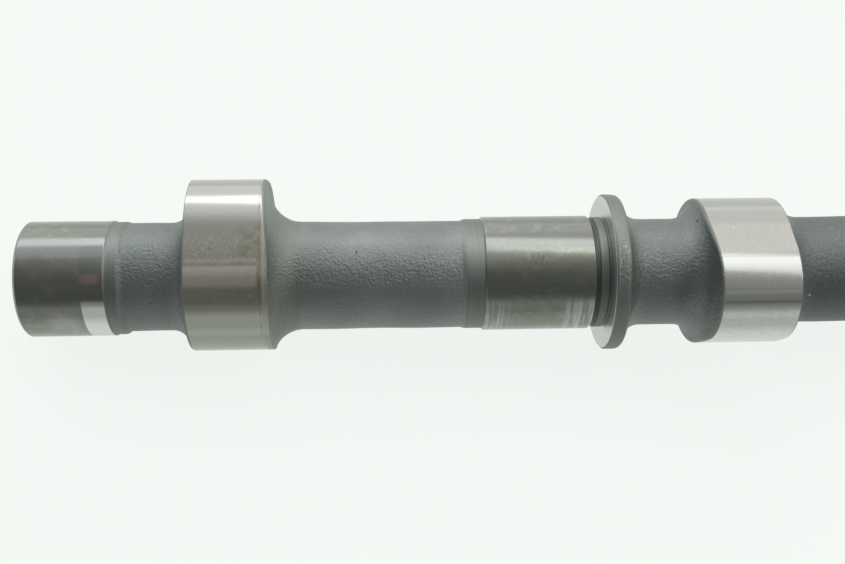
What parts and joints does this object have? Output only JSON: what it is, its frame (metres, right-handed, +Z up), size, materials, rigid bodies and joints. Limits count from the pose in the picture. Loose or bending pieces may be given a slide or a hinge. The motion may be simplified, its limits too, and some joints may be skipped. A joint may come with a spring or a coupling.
{
  "type": "camshaft",
  "caption": "Cast iron overhead camshaft with ground journals, ground lobes, a thrust collar and a sprocket register at its drive end.",
  "frame": {"origin": "on the shaft's axis, at the face of the plain end", "axes": "+X along the shaft's axis towards the drive end, +Z up as the shaft comes to rest on a flat surface"},
  "size_m": [0.4321, 0.0382, 0.0382],
  "materials": {
    "cast_iron": "as cast, with turned bands and ground, worn bearing surfaces"
  },
  "bodies": {
    "root": {"camshaft": "cast_iron"}
  },
  "joints": []
}
